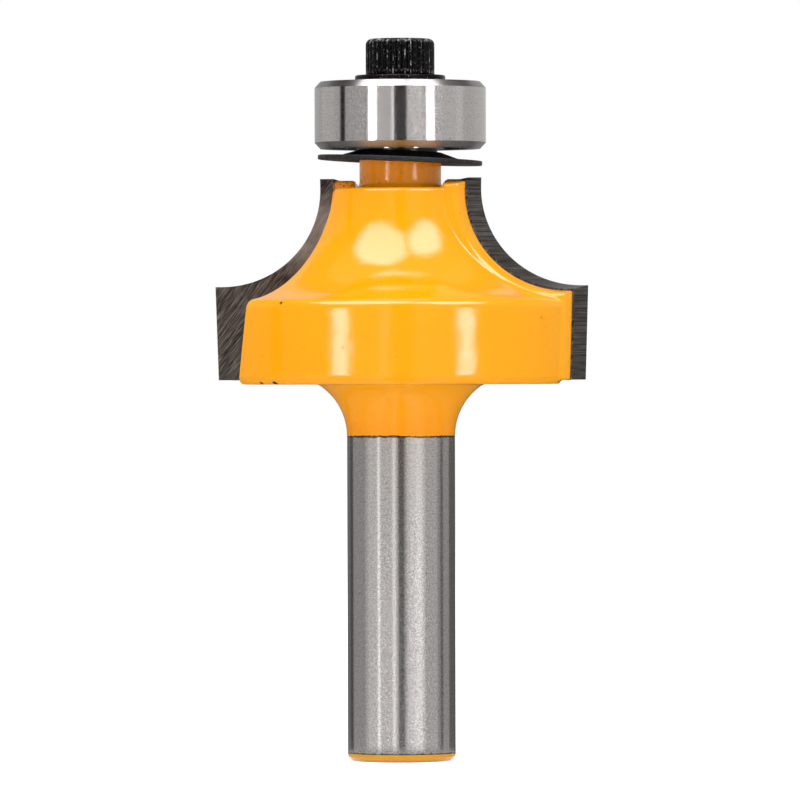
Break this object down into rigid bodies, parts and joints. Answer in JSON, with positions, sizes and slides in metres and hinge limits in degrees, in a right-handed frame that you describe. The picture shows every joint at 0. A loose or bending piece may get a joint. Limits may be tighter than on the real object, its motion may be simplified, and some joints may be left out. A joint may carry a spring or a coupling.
{
  "type": "router bit",
  "caption": "Rounding-over router bit: straight shank, painted steel head with carbide tips and slanted gullets, and a ball-bearing guide held by a socket screw.",
  "frame": {"origin": "on the axis, at the free end of the shank", "axes": "+Z along the axis from the shank to the guide bearing, X along the gullet walls that hold the tips"},
  "size_m": [0.0284, 0.027, 0.0535],
  "materials": {
    "painted_steel": "glossy orange-yellow enamel on the head, the shank ground bright",
    "carbide": "dark ground carbide with fine grinding lines",
    "black_sheet": "matte black pressed sheet",
    "bearing_steel": "ground bearing steel",
    "ball_steel": "polished",
    "cage_steel": "pressed steel strip",
    "shield_steel": "satin pressed steel",
    "black_steel": "oiled black oxide"
  },
  "bodies": {
    "cutter": {"cutter_body": "painted_steel", "carbide_tip_1": "carbide", "carbide_tip_2": "carbide", "chip_shield": "black_sheet", "bearing_inner_ring": "bearing_steel", "screw_washer": "black_steel", "cap_screw": "black_steel"},
    "guide_ring": {"bearing_outer_ring": "bearing_steel", "bearing_shield_lower": "shield_steel", "bearing_shield_upper": "shield_steel", "snap_ring_lower": "shield_steel", "snap_ring_upper": "shield_steel"},
    "ball_cage": {"cage_lower": "cage_steel", "cage_upper": "cage_steel", "cage_rivets": "cage_steel"},
    "rolling_ball_1": {"ball_1": "ball_steel"},
    "rolling_ball_2": {"ball_2": "ball_steel"},
    "rolling_ball_3": {"ball_3": "ball_steel"},
    "rolling_ball_4": {"ball_4": "ball_steel"},
    "rolling_ball_5": {"ball_5": "ball_steel"},
    "rolling_ball_6": {"ball_6": "ball_steel"},
    "rolling_ball_7": {"ball_7": "ball_steel"}
  },
  "joints": [
    {"name": "guide_spin", "type": "hinge", "parent": "cutter", "child": "guide_ring", "pos_m": [0, 0, 0.04781], "axis": [0, 0, 1], "continuous": true},
    {"name": "cage_spin", "type": "hinge", "parent": "cutter", "child": "ball_cage", "pos_m": [0, 0, 0.04781], "axis": [0, 0, 1], "continuous": true},
    {"name": "ball_1_roll", "type": "hinge", "parent": "ball_cage", "child": "rolling_ball_1", "pos_m": [0.00435, 0, 0.04781], "axis": [0, 0, 1], "continuous": true},
    {"name": "ball_2_roll", "type": "hinge", "parent": "ball_cage", "child": "rolling_ball_2", "pos_m": [0.00271, 0.0034, 0.04781], "axis": [0, 0, 1], "continuous": true},
    {"name": "ball_3_roll", "type": "hinge", "parent": "ball_cage", "child": "rolling_ball_3", "pos_m": [-0.00097, 0.00424, 0.04781], "axis": [0, 0, 1], "continuous": true},
    {"name": "ball_4_roll", "type": "hinge", "parent": "ball_cage", "child": "rolling_ball_4", "pos_m": [-0.00392, 0.00189, 0.04781], "axis": [0, 0, 1], "continuous": true},
    {"name": "ball_5_roll", "type": "hinge", "parent": "ball_cage", "child": "rolling_ball_5", "pos_m": [-0.00392, -0.00189, 0.04781], "axis": [0, 0, 1], "continuous": true},
    {"name": "ball_6_roll", "type": "hinge", "parent": "ball_cage", "child": "rolling_ball_6", "pos_m": [-0.00097, -0.00424, 0.04781], "axis": [0, 0, 1], "continuous": true},
    {"name": "ball_7_roll", "type": "hinge", "parent": "ball_cage", "child": "rolling_ball_7", "pos_m": [0.00271, -0.0034, 0.04781], "axis": [0, 0, 1], "continuous": true}
  ],
  "couplings": [
    {"joint": "cage_spin", "follows": "guide_spin", "ratio": 0.6368},
    {"joint": "ball_1_roll", "follows": "guide_spin", "ratio": 1.69},
    {"joint": "ball_2_roll", "follows": "guide_spin", "ratio": 1.69},
    {"joint": "ball_3_roll", "follows": "guide_spin", "ratio": 1.69},
    {"joint": "ball_4_roll", "follows": "guide_spin", "ratio": 1.69},
    {"joint": "ball_5_roll", "follows": "guide_spin", "ratio": 1.69},
    {"joint": "ball_6_roll", "follows": "guide_spin", "ratio": 1.69},
    {"joint": "ball_7_roll", "follows": "guide_spin", "ratio": 1.69}
  ]
}
